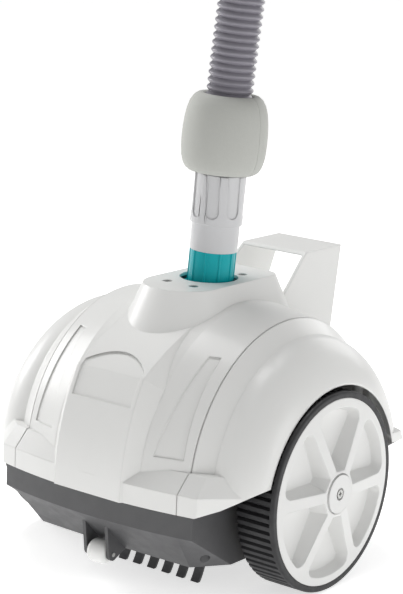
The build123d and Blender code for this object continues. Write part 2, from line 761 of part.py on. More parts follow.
with BuildPart() as debris_comb:
    comb_half = COMB_PITCH * (COMB_FINGERS - 1) / 2 + FINGER_WIDTH / 2
    block(-comb_half, comb_half, COMB_Y - 6, COMB_Y + 6, FLOOR_Z - 3.5, FLOOR_Z)
    for finger in range(COMB_FINGERS):
        x = -comb_half + finger * COMB_PITCH
        with BuildSketch(Plane.YZ.offset(x)):
            with BuildLine():
                tip_y = COMB_Y - FINGER_REACH
                ThreePointArc((COMB_Y - FINGER_THICK / 2, FLOOR_Z - 2),
                              (COMB_Y - FINGER_THICK / 2 - 1.5, FLOOR_Z / 2),
                              (tip_y - FINGER_THICK / 2, 0))
                Line((tip_y - FINGER_THICK / 2, 0), (tip_y + FINGER_THICK / 2, 0))
                ThreePointArc((tip_y + FINGER_THICK / 2, 0),
                              (COMB_Y + FINGER_THICK / 2 - 1.5, FLOOR_Z / 2),
                              (COMB_Y + FINGER_THICK / 2, FLOOR_Z - 2))
                Line((COMB_Y + FINGER_THICK / 2, FLOOR_Z - 2),
                     (COMB_Y - FINGER_THICK / 2, FLOOR_Z - 2))
            make_face()
        extrude(amount=FINGER_WIDTH)
save(debris_comb, "debris_comb")

with BuildPart() as intake_throat:
    lip_top = FLOOR_Z - 2.5
    block(-THROAT_WIDTH / 2 - 8, THROAT_WIDTH / 2 + 8, OUTLET_Y - THROAT_LENGTH / 2 - 8,
          OUTLET_Y + THROAT_LENGTH / 2 + 8, lip_top, FLOOR_Z)
    with BuildSketch(Plane.XY.offset(lip_top)):
        with Locations((0, OUTLET_Y)):
            Rectangle(THROAT_WIDTH + 5, THROAT_LENGTH + 5)
    extrude(amount=THROAT_Z - lip_top, taper=-12)
    with BuildSketch(Plane.XY.offset(FLOOR_Z)):
        with Locations((0, OUTLET_Y)):
            Rectangle(THROAT_WIDTH, THROAT_LENGTH)
    extrude(amount=THROAT_Z - FLOOR_Z, taper=-12, mode=Mode.SUBTRACT)
save(intake_throat, "intake_throat")

BALLAST_Y = AXLE_Y - 102.0
BALLAST_LENGTH = 30.0
BALLAST_WIDTH = 110.0
BALLAST_HEIGHT = 24.0
with BuildPart() as ballast_weight:
    block(-BALLAST_WIDTH / 2, BALLAST_WIDTH / 2, BALLAST_Y, BALLAST_Y + BALLAST_LENGTH,
          FLOOR_Z + WALL, FLOOR_Z + WALL + BALLAST_HEIGHT)
    fillet(ballast_weight.edges().filter_by(Axis.Z), radius=4)
save(ballast_weight, "ballast_weight")


# Turbine --------------------------------------------------------------------------------------

CASE_WALL = 2.5
PLENUM_HEIGHT = 27.0


def turbine_case():
    """The whole turbine case: plenum on the floor, chamber, and duct up to the swivel."""
    floor = FLOOR_Z + WALL
    plenum_x = THROAT_WIDTH / 2
    plenum_y = THROAT_LENGTH / 2
    with BuildPart() as case:
        rod_x(-CASE_HALF - CASE_WALL, CASE_HALF + CASE_WALL, TURBINE_Y, TURBINE_Z,
              CASE_R + CASE_WALL)
        rod_z(0, OUTLET_Y, floor + 10, DUCT_TOP_Z, DUCT_R + CASE_WALL)
        block(-plenum_x - CASE_WALL, plenum_x + CASE_WALL, OUTLET_Y - plenum_y - CASE_WALL,
              OUTLET_Y + plenum_y + CASE_WALL, floor, floor + PLENUM_HEIGHT)
        rod_x(-CASE_HALF, CASE_HALF, TURBINE_Y, TURBINE_Z, CASE_R, mode=Mode.SUBTRACT)
        rod_z(0, OUTLET_Y, floor + 5, DUCT_TOP_Z + 5, DUCT_R, mode=Mode.SUBTRACT)
        block(-plenum_x, plenum_x, OUTLET_Y - plenum_y, OUTLET_Y + plenum_y, floor - 1,
              floor + PLENUM_HEIGHT - CASE_WALL, mode=Mode.SUBTRACT)
        rod_x(-100, 100, TURBINE_Y, TURBINE_Z, SHAFT_R + GAP, mode=Mode.SUBTRACT)
    return case


case_whole = turbine_case()
with BuildPart() as turbine_case_rear:
    add(case_whole.part)
    split(bisect_by=Plane.XZ.offset(-TURBINE_Y), keep=Keep.BOTTOM)
save(turbine_case_rear, "turbine_case_rear")

with BuildPart() as turbine_case_front:
    add(case_whole.part)
    split(bisect_by=Plane.XZ.offset(-TURBINE_Y), keep=Keep.TOP)
save(turbine_case_front, "turbine_case_front")

with BuildPart() as turbine_rotor:
    with BuildSketch(Plane.YZ):
        with Locations((TURBINE_Y, TURBINE_Z)):
            Circle(SHAFT_R + 5)
            with PolarLocations((ROTOR_R + SHAFT_R) / 2, ROTOR_BLADES):
                Rectangle(ROTOR_R - SHAFT_R, BLADE_THICK)
            Circle(SHAFT_R, mode=Mode.SUBTRACT)
    extrude(amount=ROTOR_WIDTH / 2, both=True)
save(turbine_rotor, "turbine_rotor")

with BuildPart() as turbine_shaft:
    shaft_end = GEAR_BAY_X + GEAR_WIDTH
    rod_x(-shaft_end, shaft_end, TURBINE_Y, TURBINE_Z, SHAFT_R)
save(turbine_shaft, "turbine_shaft")

with BuildPart() as shaft_bushes:
    for side in (-1, 1):
        bush_from = side * (CHEEK_INNER_X - 2)
        bush_to = side * (CHEEK_OUTER_X + 1)
        rod_x(bush_from, bush_to, TURBINE_Y, TURBINE_Z, SHAFT_R + PLAY + 2)
        rod_x(bush_from, bush_to, TURBINE_Y, TURBINE_Z, SHAFT_R + PLAY, mode=Mode.SUBTRACT)
save(shaft_bushes, "shaft_bushes")

with BuildPart() as drive_pinions:
    for side in (-1, 1):
        with BuildSketch(Plane.YZ.offset(side * GEAR_BAY_X)):
            Polygon(*pinion_points, align=None)
            with Locations((TURBINE_Y, TURBINE_Z)):
                Circle(SHAFT_R, mode=Mode.SUBTRACT)
        extrude(amount=side * GEAR_WIDTH)
save(drive_pinions, "drive_pinions")


# Gear trains and wheels, made for the left side and mirrored -------------------------------------

with BuildPart() as left_reduction_gear:
    with BuildSketch(Plane.YZ.offset(GEAR_BAY_X)):
        Polygon(*large_points, align=None)
    extrude(amount=GEAR_WIDTH - 1)
    with BuildSketch(Plane.YZ.offset(GEAR_BAY_X + GEAR_WIDTH - 1)):
        Polygon(*small_points, align=None)
    extrude(amount=RING_X + RING_WIDTH - GEAR_BAY_X - GEAR_WIDTH + 1)
    rod_x(GEAR_BAY_X - 1, RING_X + RING_WIDTH + 1, GEAR_Y, GEAR_Z, GEAR_PIN_R + PLAY,
          mode=Mode.SUBTRACT)

with BuildPart() as left_gear_pin:
    rod_x(CHEEK_INNER_X - 2, RING_X + RING_WIDTH + 0.5, GEAR_Y, GEAR_Z, GEAR_PIN_R)
    rod_x(CHEEK_INNER_X - 4, CHEEK_INNER_X, GEAR_Y, GEAR_Z, GEAR_PIN_R + 2)

with BuildPart() as left_gear_cover:
    with BuildSketch(Plane.YZ.offset(CHEEK_OUTER_X)):
        with Locations((GEAR_Y, GEAR_Z)):
            Circle(large_space_r + GEAR_COVER_WALL)
        with Locations((TURBINE_Y, TURBINE_Z)):
            Circle(pinion_space_r + GEAR_COVER_WALL)
        make_hull()
    extrude(amount=gear_cover_x + GEAR_COVER_WALL - CHEEK_OUTER_X)
    with BuildSketch(Plane.YZ.offset(CHEEK_OUTER_X)):
        with Locations(*lug_places):
            Circle(SCREW_HEAD_R + 1)
    extrude(amount=WALL)
    with BuildSketch(Plane.YZ.offset(CHEEK_OUTER_X)):
        with Locations((GEAR_Y, GEAR_Z)):
            Circle(large_space_r)
        with Locations((TURBINE_Y, TURBINE_Z)):
            Circle(pinion_space_r)
        make_hull()
    extrude(amount=gear_cover_x - CHEEK_OUTER_X, mode=Mode.SUBTRACT)
    rod_x(CHEEK_OUTER_X, CHEEK_OUTER_X + 20, GEAR_Y, GEAR_Z, small_space_r, mode=Mode.SUBTRACT)
    for y, z in lug_places:
        rod_x(CHEEK_OUTER_X - 1, CHEEK_OUTER_X + 9, y, z, SCREW_R + 0.1, mode=Mode.SUBTRACT)

lug_planes = [
    Plane(origin=(side * (CHEEK_OUTER_X + WALL + SCREW_HEAD), y, z), z_dir=(side, 0, 0))
    for side in (-1, 1) for y, z in lug_places
]
gear_cover_screws = screw_group(lug_planes, SCREW_HEAD + WALL + 5.0)

with BuildPart() as left_stub_axle:
    rod_x(CHEEK_INNER_X - WALL, CHEEK_INNER_X, AXLE_Y, AXLE_Z, STUB_R * 2)
    rod_x(CHEEK_INNER_X, STUB_END_X, AXLE_Y, AXLE_Z, STUB_R)
    rod_x(STUB_END_X - 18, STUB_END_X, AXLE_Y, AXLE_Z, SCREW_R, mode=Mode.SUBTRACT)

with BuildPart() as left_hub_bush:
    rod_x(HUB_FACE_X - 24, HUB_FACE_X, AXLE_Y, AXLE_Z, BUSH_OUTER_R)
    rod_x(HUB_FACE_X - 24, HUB_FACE_X, AXLE_Y, AXLE_Z, BUSH_INNER_R, mode=Mode.SUBTRACT)

CAP_RECESS = SCREW_HEAD + 0.2
with BuildPart() as left_hub_cap:
    rod_x(STUB_END_X, HALF_WIDTH, AXLE_Y, AXLE_Z, HUB_CAP_R)
    chamfer(left_hub_cap.faces().sort_by(Axis.X)[-1].edges(), length=0.5)
    rod_x(HALF_WIDTH - CAP_RECESS, HALF_WIDTH, AXLE_Y, AXLE_Z, SCREW_HEAD_R + 1.5,
          mode=Mode.SUBTRACT)
    rod_x(STUB_END_X, HALF_WIDTH, AXLE_Y, AXLE_Z, SCREW_R, mode=Mode.SUBTRACT)

hub_screw_planes = [
    Plane(origin=(side * (HALF_WIDTH - CAP_RECESS + SCREW_HEAD), AXLE_Y, AXLE_Z),
          z_dir=(side, 0, 0))
    for side in (-1, 1)
]
hub_screws = screw_group(hub_screw_planes, SCREW_HEAD + 16.0, cross=True)

with BuildPart() as left_ring_gear:
    web_x = RING_X + RING_WIDTH
    rod_x(RING_X, web_x + WALL, AXLE_Y, AXLE_Z, RING_R + 1.2 * SECOND_MODULE + 3.5)
    rod_x(web_x, web_x + WALL, AXLE_Y, AXLE_Z, RIM_R - RIM_WALL)
    with BuildSketch(Plane.YZ.offset(RING_X)):
        Polygon(*ring_points, align=None)
    extrude(amount=RING_WIDTH + WALL, mode=Mode.SUBTRACT)


def pocket(grow):
    """One rim pocket seen from the side: a wedge between two spokes with rounded corners."""
    half = math.radians(POCKET_HALF_ANGLE)
    inner = POCKET_INNER_R
    outer = POCKET_OUTER_R
    with BuildSketch() as outline:
        with BuildLine():
            corner = (outer * math.cos(half), outer * math.sin(half))
            Line((inner, -5), (corner[0], -corner[1]))
            ThreePointArc((corner[0], -corner[1]), (outer, 0), corner)
            Line(corner, (inner, 5))
            Line((inner, 5), (inner, -5))
        make_face()
        fillet(outline.vertices().group_by(Axis.X)[-1], radius=8)
        fillet(outline.vertices().group_by(Axis.X)[0], radius=2.5)
        if grow:
            offset(amount=grow, kind=Kind.ARC)
    return outline.sketch


with BuildPart() as left_wheel_rim:
    with BuildSketch(Plane.XZ.offset(-AXLE_Y)):
        recess_r = HUB_CAP_R + GAP
        with BuildLine():
            Polyline(
                (RIM_INNER_X, AXLE_Z + RIM_R),
                (RIM_FACE_X, AXLE_Z + RIM_R),
                (RIM_FACE_X + DISH, AXLE_Z + recess_r),
                (HUB_FACE_X, AXLE_Z + recess_r),
                (HUB_FACE_X, AXLE_Z + BUSH_OUTER_R),
                (HUB_FACE_X - 24, AXLE_Z + BUSH_OUTER_R),
                (HUB_FACE_X - 24, AXLE_Z + HUB_R),
                (HUB_FACE_X - WEB, AXLE_Z + HUB_R),
                (RIM_FACE_X - WEB, AXLE_Z + RIM_R - RIM_WALL),
                (RIM_INNER_X, AXLE_Z + RIM_R - RIM_WALL),
                close=True,
            )
        make_face()
    revolve(axis=Axis((0, AXLE_Y, AXLE_Z), (1, 0, 0)))
    floor_plane = Plane(origin=(RIM_FACE_X - POCKET_DEPTH, AXLE_Y, AXLE_Z), x_dir=(0, 1, 0),
                        z_dir=(1, 0, 0))
    first_pocket = SPOKE_PHASE + 180 / SPOKES
    # Each pocket is a cup: its walls rise to the dished face, then its hollow is cut
    with BuildSketch(floor_plane.offset(-POCKET_WALL)):
        with PolarLocations(0, SPOKES, start_angle=first_pocket):
            add(pocket(POCKET_WALL))
    extrude(amount=POCKET_WALL + POCKET_DEPTH + DISH)
    with BuildSketch(Plane.XZ.offset(-AXLE_Y)):
        with BuildLine():
            Polyline(
                (RIM_FACE_X, AXLE_Z + RIM_R + 1),
                (RIM_FACE_X, AXLE_Z + RIM_R),
                (RIM_FACE_X + DISH, AXLE_Z + recess_r),
                (RIM_FACE_X + DISH + 1, AXLE_Z + recess_r),
                (RIM_FACE_X + DISH + 1, AXLE_Z + RIM_R + 1),
                close=True,
            )
        make_face()
    revolve(axis=Axis((0, AXLE_Y, AXLE_Z), (1, 0, 0)), mode=Mode.SUBTRACT)
    for turn in range(SPOKES):
        with BuildSketch(floor_plane):
            with Locations(Location((0, 0), first_pocket + turn * 360 / SPOKES)):
                add(pocket(-POCKET_SHRINK))
        extrude(amount=POCKET_DEPTH + DISH + 1, taper=-POCKET_DRAFT, mode=Mode.SUBTRACT)

with BuildPart() as left_tyre:
    tyre_from = RIM_FACE_X - TYRE_WIDTH
    with BuildSketch(Plane.YZ.offset(tyre_from)):
        groove_points = []
        for groove in range(TYRE_GROOVES):
            for part, radius in ((0.0, TYRE_R), (0.55, TYRE_R), (0.62, TYRE_R - GROOVE_DEPTH),
                                 (0.93, TYRE_R - GROOVE_DEPTH)):
                angle = 2 * math.pi * (groove + part) / TYRE_GROOVES - math.pi / 2
                angle -= 0.275 * 2 * math.pi / TYRE_GROOVES
                groove_points.append((AXLE_Y + radius * math.cos(angle),
                                      AXLE_Z + radius * math.sin(angle)))
        Polygon(*groove_points, align=None)
        with Locations((AXLE_Y, AXLE_Z)):
            Circle(RIM_R, mode=Mode.SUBTRACT)
    extrude(amount=TYRE_WIDTH)

for piece, label in (
    (left_reduction_gear, "reduction_gear"),
    (left_gear_pin, "gear_pin"),
    (left_gear_cover, "gear_cover"),
    (left_stub_axle, "stub_axle"),
    (left_hub_bush, "hub_bush"),
    (left_hub_cap, "hub_cap"),
    (left_ring_gear, "ring_gear"),
    (left_wheel_rim, "wheel_rim"),
    (left_tyre, "tyre"),
):
    save(piece, "left_" + label)
    save(mirrored(piece), "right_" + label)
save(gear_cover_screws, "gear_cover_screws")
save(hub_screws, "hub_screws")


# Outlet swivel and hose, on the leaning outlet axis ------------------------------------------------

lean = math.radians(LEAN)
heading = math.radians(LEAN_HEADING)
stack = Plane(
    origin=(0, OUTLET_Y, PIVOT_Z),
    x_dir=(math.cos(lean) * math.cos(heading), math.cos(lean) * math.sin(heading),
           -math.sin(lean)),
    z_dir=(math.sin(lean) * math.cos(heading), math.sin(lean) * math.sin(heading),
           math.cos(lean)),
)


def stack_rod(h_from, h_to, radius, mode=Mode.ADD):
    """A cylinder on the outlet axis, in the piece being built."""
    with Locations(stack.offset((h_from + h_to) / 2)):
        Cylinder(radius, h_to - h_from, mode=mode)


SOCKET_WALL = 2.4
SEAT_HALF = 7.0
seat_r = BALL_R + GAP
throat_r = math.sqrt(seat_r ** 2 - SEAT_HALF ** 2)
plate_under_z = TURRET_Z - WALL

with BuildPart() as swivel_socket:
    with BuildSketch(Plane.XY.offset(plate_under_z)):
        with Locations((0, TURRET_Y)):
            SlotOverall(94, 2 * 31, rotation=90)
    extrude(amount=-WALL)
    rod_z(0, OUTLET_Y, DUCT_TOP_Z, plate_under_z, seat_r + SOCKET_WALL)
    rod_z(0, OUTLET_Y, DUCT_TOP_Z - 1, plate_under_z + 1, throat_r, mode=Mode.SUBTRACT)
    rod_z(0, OUTLET_Y, DUCT_TOP_Z - 1, PIVOT_Z - SEAT_HALF, seat_r, mode=Mode.SUBTRACT)
    rod_z(0, OUTLET_Y, PIVOT_Z + SEAT_HALF, plate_under_z + 1, seat_r + 0.4, mode=Mode.SUBTRACT)
    with Locations((0, OUTLET_Y, PIVOT_Z)):
        Sphere(seat_r, mode=Mode.SUBTRACT)
    for x, y in turret_screw_places:
        rod_z(x, y, 200, 300, SCREW_R, mode=Mode.SUBTRACT)
save(swivel_socket, "swivel_socket")

turret_planes = [Plane((x, y, plate_under_z + SCREW_HEAD)) for x, y in turret_screw_places]
turret_screws = screw_group(turret_planes, SCREW_HEAD + 9.0, cross=True)
save(turret_screws, "turret_screws")

with BuildPart() as tilt_ring:
    with Locations(stack):
        Sphere(BALL_R)
    stack_rod(RING_HALF, 60, 60, mode=Mode.SUBTRACT)
    stack_rod(-60, -RING_HALF, 60, mode=Mode.SUBTRACT)
    stack_rod(-60, 60, TUBE_R + PLAY, mode=Mode.SUBTRACT)
save(tilt_ring, "tilt_ring")

TUBE_TOP_H = GRIP_H - 2.0
TUBE_FOOT_H = -RING_HALF - 3.0
with BuildPart() as outlet_tube:
    stack_rod(TUBE_FOOT_H, TUBE_TOP_H, TUBE_R)
    stack_rod(TUBE_FOOT_H, TUBE_FOOT_H + 2.7, TUBE_R + 2.2)
    stack_rod(RING_HALF + 0.3, FLANGE_H, TUBE_R + 1.6)
    stack_rod(FLANGE_H, FLANGE_H + 3, FLANGE_R)
    with BuildSketch(stack.offset(FLANGE_H)):
        with PolarLocations(TUBE_R, TUBE_RIBS):
            Rectangle(2 * RIB_HEIGHT, 1.6)
    extrude(amount=COLLAR_H - FLANGE_H)
    stack_rod(TUBE_FOOT_H - 1, TUBE_TOP_H + 1, TUBE_R - TUBE_WALL, mode=Mode.SUBTRACT)
save(outlet_tube, "outlet_tube")

with BuildPart() as grip_flutes:
    for turn in range(GRIP_FLUTES):
        spin = stack.rotated((0, 0, 360 * turn / GRIP_FLUTES))
        face = Plane(origin=spin.origin + spin.z_dir * (GRIP_H + FLUTE_FOOT + FLUTE_WIDTH / 2),
                     x_dir=spin.z_dir, z_dir=spin.x_dir)
        with BuildSketch(face):
            Circle(FLUTE_WIDTH / 2)
            with Locations((GRIP_TOP_H / 2, 0)):
                Rectangle(GRIP_TOP_H, FLUTE_WIDTH)
        extrude(amount=GRIP_R + 5)
    stack_rod(0, 3 * GRIP_TOP_H, GRIP_R - FLUTE_DEPTH, mode=Mode.SUBTRACT)

with BuildPart() as hose_connector:
    stack_rod(COLLAR_H, GRIP_H, COLLAR_R)
    stack_rod(GRIP_H, GRIP_TOP_H, GRIP_R)
    fillet(hose_connector.edges().filter_by(GeomType.CIRCLE).sort_by(Axis.Z)[-1], radius=1.5)
    # Flutes with a round foot: a slot-shaped cutter, trimmed to the flute's depth
    add(grip_flutes.part, mode=Mode.SUBTRACT)
    stack_rod(GRIP_TOP_H - 1, NIPPLE_H, HOSE_R - HOSE_WALL)
    stack_rod(0, TUBE_TOP_H, TUBE_R, mode=Mode.SUBTRACT)
    stack_rod(0, NIPPLE_H + 1, HOSE_R - HOSE_WALL - 2.4, mode=Mode.SUBTRACT)
save(hose_connector, "hose_connector")

FLOAT_H = GRIP_TOP_H + 1.0
with BuildPart() as float_whole:
    stack_rod(FLOAT_H, FLOAT_H + FLOAT_LENGTH, FLOAT_R)
    fillet(float_whole.edges().filter_by(GeomType.CIRCLE), radius=FLOAT_ROUND)
    stack_rod(FLOAT_H - 1, FLOAT_H + FLOAT_LENGTH + 1, HOSE_R + 2 * GAP, mode=Mode.SUBTRACT)

float_cut = Plane(origin=stack.origin, x_dir=stack.z_dir, z_dir=stack.x_dir)
with BuildPart() as float_left_half:
    add(float_whole.part)
    split(bisect_by=float_cut, keep=Keep.TOP)
save(float_left_half, "float_left_half")

with BuildPart() as float_right_half:
    add(float_whole.part)
    split(bisect_by=float_cut, keep=Keep.BOTTOM)
save(float_right_half, "float_right_half")


# The hose leaves the connector along the outlet axis and leans a little more at every bend.
HOSE_START_H = GRIP_TOP_H + 0.2
hose_points = [stack.offset(HOSE_START_H).origin]
turned = lean
for run, turn in zip(HOSE_RUNS, HOSE_TURNS + [0.0]):
    step = Vector(math.sin(turned) * math.cos(heading), math.sin(turned) * math.sin(heading),
                  math.cos(turned)) * run
    hose_points.append(hose_points[-1] + step)
    turned += math.radians(turn)
hose_radii = []
for index, turn in enumerate(HOSE_TURNS):
    shorter = min(HOSE_RUNS[index], HOSE_RUNS[index + 1])
    hose_radii.append(0.45 * shorter / math.tan(math.radians(turn) / 2))
print("hose radii", [round(radius) for radius in hose_radii], "length", sum(HOSE_RUNS))

with BuildPart() as leader_hose:
    with BuildLine():
        FilletPolyline(*hose_points, radius=hose_radii)
    with BuildSketch(stack.offset(HOSE_START_H)):
        Circle(HOSE_R)
        Circle(HOSE_R - HOSE_WALL, mode=Mode.SUBTRACT)
    sweep()
save(leader_hose, "leader_hose")

hose_way = (hose_points[-1] - hose_points[-2]).normalized()
cuff_plane = Plane(origin=hose_points[-1] - hose_way * CUFF_SOCKET, z_dir=hose_way)
with BuildPart() as hose_cuff:
    with BuildSketch(cuff_plane):
        Circle(HOSE_R + CUFF_WALL)
    extrude(amount=CUFF_LENGTH)
    with BuildSketch(cuff_plane):
        Circle(HOSE_R)
    extrude(amount=CUFF_SOCKET, mode=Mode.SUBTRACT)
    with BuildSketch(cuff_plane):
        Circle(CUFF_BORE_R)
    extrude(amount=CUFF_LENGTH, mode=Mode.SUBTRACT)
save(hose_cuff, "hose_cuff")
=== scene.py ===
"""Wheeled pool cleaner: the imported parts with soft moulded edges, real finishes and a ribbed hose."""

import json
import math

import bmesh
import bpy
from mathutils import Matrix, Vector


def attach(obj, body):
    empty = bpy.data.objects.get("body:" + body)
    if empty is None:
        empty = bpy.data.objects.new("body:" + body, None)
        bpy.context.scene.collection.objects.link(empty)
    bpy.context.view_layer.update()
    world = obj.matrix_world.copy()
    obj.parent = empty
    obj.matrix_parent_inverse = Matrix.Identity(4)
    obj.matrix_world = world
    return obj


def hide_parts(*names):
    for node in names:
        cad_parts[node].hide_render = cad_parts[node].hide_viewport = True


bl_info = {
    "name": "Pool Cleaner",
    "version": (1, 0, 0),
    "blender": (4, 5, 0),
    "location": "3D View > Sidebar > Pool Cleaner",
    "description": "Builds the visible pieces of a wheeled pool cleaner around its packed parts",
    "category": "Object",
}

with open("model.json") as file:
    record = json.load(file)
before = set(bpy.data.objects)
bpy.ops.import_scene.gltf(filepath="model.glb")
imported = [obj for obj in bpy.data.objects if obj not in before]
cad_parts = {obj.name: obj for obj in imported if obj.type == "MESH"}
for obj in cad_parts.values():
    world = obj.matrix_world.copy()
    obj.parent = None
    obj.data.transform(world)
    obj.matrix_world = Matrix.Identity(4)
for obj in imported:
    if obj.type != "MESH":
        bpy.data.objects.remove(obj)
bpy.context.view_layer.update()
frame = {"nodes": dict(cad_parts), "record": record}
MM = 0.001
UP = Vector((0, 0, 1))

# Places repeated from the part's source, in millimetres
AXLE = Vector((0.0, -10.0, 90.0))
TYRE_X = (116.4, 155.4)
PIVOT = Vector((0.0, 2.0, 232.0))
STACK_WAY = Vector((0.04673, 0.03651, 0.99824))
STACK_TURN = UP.rotation_difference(STACK_WAY).to_matrix().to_4x4()
HOSE_ROUTE = (
    (5.57, 6.35, 350.99),
    (8.09, 8.32, 404.90),
    (11.56, 11.03, 460.72),
    (15.78, 14.33, 518.47),
    (20.54, 18.05, 574.15),
    (25.47, 21.90, 625.77),
)
HOSE_WALL = 1.2
HOSE_SEGMENTS = 56
RINGS_PER_RIB = 8
# Below 1, the ribs are broad at the crest and narrow at the root
RIB_FULLNESS = 0.6

# Radius and height above the pivot, up the outside of the float's barrel and down its bore
FLOAT_OUTLINE = (
    (26.0, 120.1), (30.0, 120.6), (33.4, 123.0), (35.7, 127.2), (37.3, 133.0), (38.2, 140.0),
    (38.5, 149.0), (38.3, 158.0), (37.6, 167.0), (36.2, 175.5), (34.2, 182.0), (31.2, 187.0),
    (27.6, 189.8), (24.4, 190.4), (22.4, 189.4), (21.6, 187.6), (21.6, 122.6), (22.9, 120.7),
)
FLOAT_SEAM = 0.5

# The tyre's bore, and the plain ring at its outer shoulder, where the ribs stop
TYRE_BORE_R = 84.3
TYRE_RING = 3.6
STEPS_PER_RIB = 8
# Above 1, the grooves are narrower than the ribs
GROOVE_SHARPNESS = 1.6
GROOVE_RUN_OUT = 4.0

# The camera's axes, place and lens
CAMERA_RIGHT = Vector((0.78734, 0.61529, 0.03880))
CAMERA_UP = Vector((-0.16866, 0.15444, 0.97350))
CAMERA_BACK = Vector((0.59299, -0.77302, 0.22537))
CAMERA_PLACE = Vector((1.0724, -1.4058, 0.6455))
CAMERA_LENS = 121.3

# The softboxes: name, place and width in metres, power in watts
SOFTBOXES = (
    ("top", Vector((-0.5, 0.2, 1.9)), 0.9, 14.0),
    ("left", Vector((-1.9, -0.2, 0.8)), 0.8, 13.0),
    ("right", Vector((2.0, 0.3, 0.6)), 0.8, 6.0),
    ("back", Vector((-0.2, 1.9, 0.9)), 1.0, 6.0),
)
LIGHT_TARGET = Vector((0.0, 0.0, 0.22))
WORLD_STRENGTH = 0.4
FLOOR_HALF = 25.0
FLOOR_GLOW = 0.62

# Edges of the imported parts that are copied: part, new piece, body, edge radius
ROUNDED_PARTS = (
    ("left_wheel_rim", "left_wheel_disc", "left_wheel", 0.6),
    ("left_hub_cap", "left_cap", "base", 0.5),
    ("right_wheel_rim", "right_wheel_disc", "right_wheel", 0.6),
    ("right_hub_cap", "right_cap", "base", 0.5),
    ("hose_connector", "hose_grip", "outlet", 0.45),
    ("outlet_tube", "ribbed_outlet", "outlet", 0.4),
    ("debris_comb", "comb_fingers", "base", 0.6),
    ("front_roller", "nose_roller", "roller", 0.8),
)
CUFF_RADIUS = 1.0
FINE_CREASE = 28.0


# ---------------------------------------------------------------- materials


def linear(hex_colour):
    """Turns an sRGB hex colour, such as "e6e6e4", into linear RGBA."""
    channels = [int(hex_colour[i:i + 2], 16) / 255 for i in (0, 2, 4)]
    return [c / 12.92 if c <= 0.04045 else ((c + 0.055) / 1.055) ** 2.4 for c in channels] + [1.0]


def add_node(tree, kind, links=None, **settings):
    """Adds a node. Settings name its properties or its input sockets; links feed its sockets."""
    made = tree.nodes.new(kind)
    for name, value in settings.items():
        if hasattr(made, name):
            setattr(made, name, value)
        else:
            made.inputs[name.replace("_", " ")].default_value = value
    for socket, source in (links or {}).items():
        tree.links.new(source, made.inputs[socket])
    return made


def new_finish(name, **sockets):
    """Starts a material with a Principled shader, its Object coordinates and uniform values."""
    material = bpy.data.materials.new(name)
    material.use_nodes = True
    tree = material.node_tree
    tree.nodes.clear()
    shader = add_node(tree, "ShaderNodeBsdfPrincipled", **sockets)
    add_node(tree, "ShaderNodeOutputMaterial", {"Surface": shader.outputs["BSDF"]})
    place = add_node(tree, "ShaderNodeTexCoord").outputs["Object"]
    return material, tree, shader, place


def drifting_colour(tree, shader, place, low, high, patch_mm):
    """Lets the base colour drift softly between two hex colours over patches of a real size."""
    drift = add_node(
        tree, "ShaderNodeTexNoise", {"Vector": place}, Scale=1 / (patch_mm * MM), Detail=3.0)
    ramp = add_node(tree, "ShaderNodeMix", {"Factor": drift.outputs["Fac"]}, data_type="RGBA")
    ramp.inputs["A"].default_value = linear(low)
    ramp.inputs["B"].default_value = linear(high)
    tree.links.new(ramp.outputs["Result"], shader.inputs["Base Color"])


def varied_roughness(tree, shader, place, low, high, patch_mm):
    """Varies the gloss as handling and flow marks do."""
    flow = add_node(
        tree, "ShaderNodeTexNoise", {"Vector": place}, Scale=1 / (patch_mm * MM), Detail=5.0)
    band = add_node(
        tree, "ShaderNodeMapRange", {"Value": flow.outputs["Fac"]},
        From_Min=0.3, From_Max=0.7, To_Min=low, To_Max=high)
    tree.links.new(band.outputs["Result"], shader.inputs["Roughness"])


def surface_grain(tree, shader, place, grain_mm, depth_mm, edge_mm=0.0):
    """Raises a fine grain on the surface, over edges rounded by the mould."""
    grain = add_node(
        tree, "ShaderNodeTexNoise", {"Vector": place}, Scale=1 / (grain_mm * MM), Detail=4.0)
    bump = add_node(tree, "ShaderNodeBump", {"Height": grain.outputs["Fac"]}, Distance=depth_mm * MM)
    if edge_mm:
        edge = add_node(tree, "ShaderNodeBevel", samples=6, Radius=edge_mm * MM)
        tree.links.new(edge.outputs["Normal"], bump.inputs["Normal"])
    tree.links.new(bump.outputs["Normal"], shader.inputs["Normal"])


def moulded_abs(name, low, high, gloss, edge_mm, coat=0.12, specular=0.5):
    """Injection-moulded ABS: an even opaque colour under a satin skin, with faint flow marks."""
    material, tree, shader, place = new_finish(
        name, IOR=1.53, Coat_Weight=coat, Coat_Roughness=0.12, Specular_IOR_Level=specular)
    drifting_colour(tree, shader, place, low, high, 70.0)
    varied_roughness(tree, shader, place, gloss, gloss + 0.07, 25.0)
    surface_grain(tree, shader, place, 1.6, 0.012, edge_mm)
    return material


def grained_polypropylene(name, low, high):
    """Spark-grained polypropylene: dull, with a pebbled skin that breaks up reflections."""
    material, tree, shader, place = new_finish(name, IOR=1.49)
    drifting_colour(tree, shader, place, low, high, 18.0)
    varied_roughness(tree, shader, place, 0.42, 0.56, 12.0)
    surface_grain(tree, shader, place, 1.2, 0.09, 0.8)
    return material


def vulcanised_rubber():
    """Vulcanised rubber: near black, soft sheen, a little pool dust in its colour."""
    material, tree, shader, place = new_finish("vulcanised_rubber", IOR=1.52)
    drifting_colour(tree, shader, place, "1b1b1d", "2b2b2d", 9.0)
    varied_roughness(tree, shader, place, 0.45, 0.62, 6.0)
    surface_grain(tree, shader, place, 0.9, 0.06)
    return material


